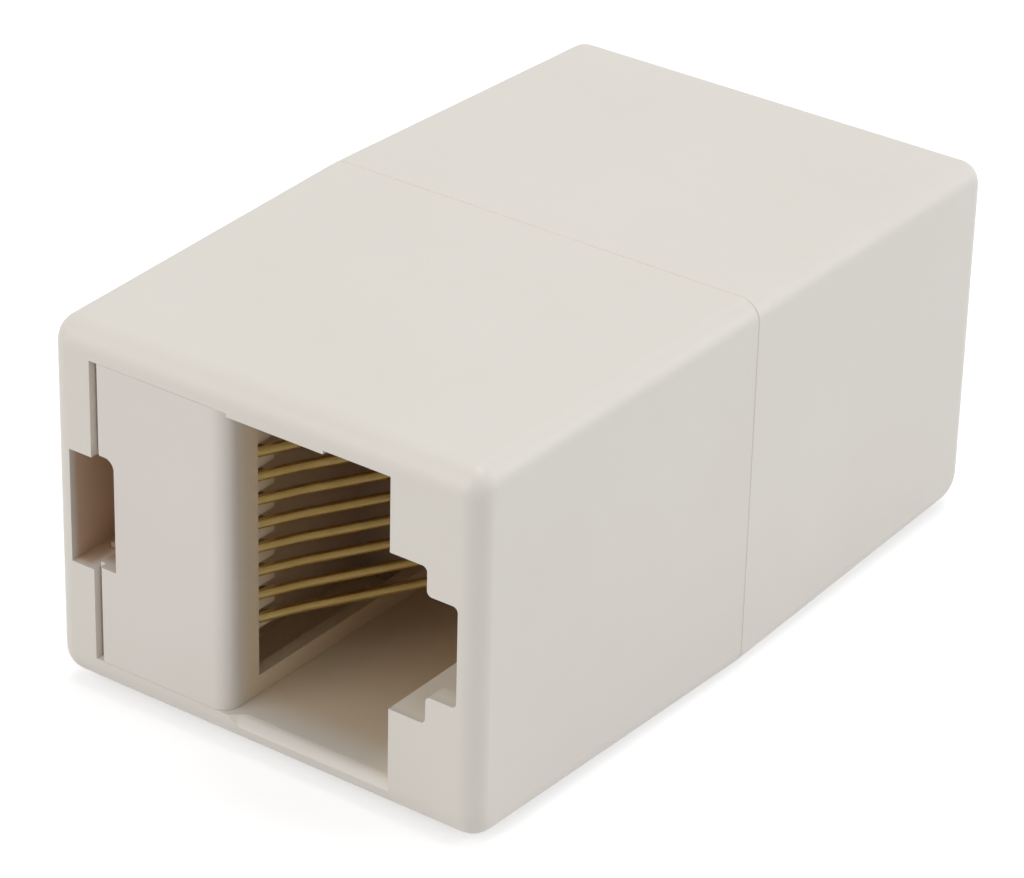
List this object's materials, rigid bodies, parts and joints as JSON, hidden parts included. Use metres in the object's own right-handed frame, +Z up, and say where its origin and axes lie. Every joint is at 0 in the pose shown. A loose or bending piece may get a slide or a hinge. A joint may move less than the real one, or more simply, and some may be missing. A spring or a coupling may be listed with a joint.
{
  "type": "rj45 inline coupler",
  "caption": "Rectangular inline coupler with a modular socket in each end, gold spring contacts, and two shells joined at mid-length.",
  "frame": {"origin": "middle of the underside, at the seam between the two shells", "axes": "+Y along the coupler, front mouth at -Y; +X across, keyway side of the front mouth; +Z up"},
  "size_m": [0.0206, 0.034, 0.016],
  "materials": {
    "shell": "ivory, fine satin",
    "insert": "ivory, smooth",
    "contacts": "gold plated, bright",
    "lead_blue": "smooth insulation",
    "lead_orange": "smooth insulation",
    "lead_black": "smooth insulation",
    "lead_red": "smooth insulation",
    "lead_green": "smooth insulation",
    "lead_yellow": "smooth insulation",
    "lead_brown": "smooth insulation",
    "lead_white": "smooth insulation"
  },
  "bodies": {
    "root": {"front_shell": "shell", "rear_shell": "shell", "front_insert": "insert", "rear_insert": "insert", "front_contact_1": "contacts", "rear_contact_1": "contacts", "front_contact_2": "contacts", "rear_contact_2": "contacts", "front_contact_3": "contacts", "rear_contact_3": "contacts", "front_contact_4": "contacts", "rear_contact_4": "contacts", "front_contact_5": "contacts", "rear_contact_5": "contacts", "front_contact_6": "contacts", "rear_contact_6": "contacts", "front_contact_7": "contacts", "rear_contact_7": "contacts", "front_contact_8": "contacts", "rear_contact_8": "contacts", "lead_1": "lead_blue", "lead_2": "lead_orange", "lead_3": "lead_black", "lead_4": "lead_red", "lead_5": "lead_green", "lead_6": "lead_yellow", "lead_7": "lead_brown", "lead_8": "lead_white"}
  },
  "joints": []
}
